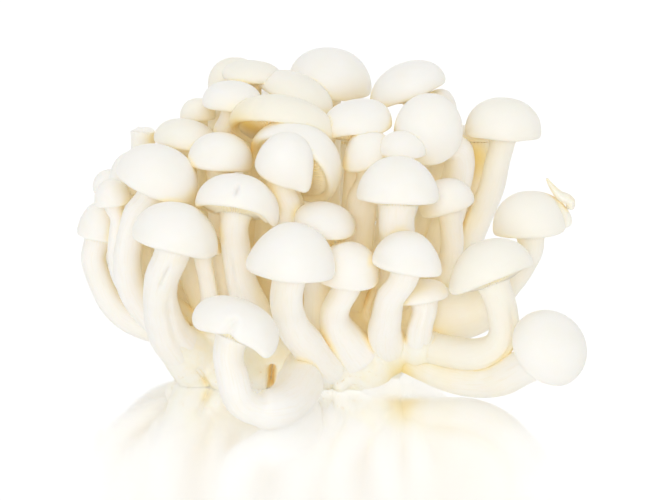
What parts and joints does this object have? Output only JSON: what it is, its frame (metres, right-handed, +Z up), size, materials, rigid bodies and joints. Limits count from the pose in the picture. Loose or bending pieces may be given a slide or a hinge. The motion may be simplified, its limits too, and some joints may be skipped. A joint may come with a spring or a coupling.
{
  "type": "white shimeji mushroom bunch",
  "caption": "Bunch of white shimeji mushrooms fanning out of one lumpy base with a flat cut underside, as picked.",
  "frame": {"origin": "on the base's flat cut underside, near the middle of its front half, where the bunch rests on a surface", "axes": "+Z up out of the cut underside, +X along the bunch's longer side towards the mushroom that lies down, -Y towards the front, where the looped stem is"},
  "size_m": [0.1237, 0.1211, 0.0792],
  "materials": {
    "mushroom_flesh": "satin",
    "base_flesh": "matte"
  },
  "bodies": {
    "root": {"base": "base_flesh", "front_left_broad": "mushroom_flesh", "front_centre_broad": "mushroom_flesh", "front_looped": "mushroom_flesh", "front_centre_round": "mushroom_flesh", "front_right_tall": "mushroom_flesh", "right_leaning": "mushroom_flesh", "right_lying": "mushroom_flesh", "right_torn": "mushroom_flesh", "front_right_small": "mushroom_flesh", "left_broad": "mushroom_flesh", "left_low": "mushroom_flesh", "left_small": "mushroom_flesh", "left_centre_cracked": "mushroom_flesh", "centre_pale": "mushroom_flesh", "right_centre_broad": "mushroom_flesh", "upper_egg": "mushroom_flesh", "left_centre_upper": "mushroom_flesh", "front_left_small": "mushroom_flesh", "right_centre_small": "mushroom_flesh", "upper_right_small": "mushroom_flesh", "upper_right_low": "mushroom_flesh", "upper_hooded": "mushroom_flesh", "upper_right_round": "mushroom_flesh", "upper_right_flat": "mushroom_flesh", "upper_broad": "mushroom_flesh", "left_upper": "mushroom_flesh", "right_tall": "mushroom_flesh", "upper_left_front": "mushroom_flesh", "top_leaning": "mushroom_flesh", "top_right": "mushroom_flesh", "top_large": "mushroom_flesh", "top_left": "mushroom_flesh", "upper_left_small": "mushroom_flesh", "top_left_rear": "mushroom_flesh", "left_hidden": "mushroom_flesh", "left_rear_small": "mushroom_flesh", "rear_left_leaning": "mushroom_flesh", "rear_left_side": "mushroom_flesh", "rear_left_low": "mushroom_flesh", "rear_left_broad": "mushroom_flesh", "rear_centre_broad": "mushroom_flesh", "rear_centre_upper": "mushroom_flesh", "rear_centre_low": "mushroom_flesh", "rear_right_upper": "mushroom_flesh", "rear_right_high": "mushroom_flesh", "rear_right_low": "mushroom_flesh", "rear_right_broad": "mushroom_flesh", "right_rear_tall": "mushroom_flesh", "right_rear_low": "mushroom_flesh", "rear_centre_lying": "mushroom_flesh", "rear_right_small": "mushroom_flesh", "rear_left_small": "mushroom_flesh", "broken_stem": "mushroom_flesh"}
  },
  "joints": []
}
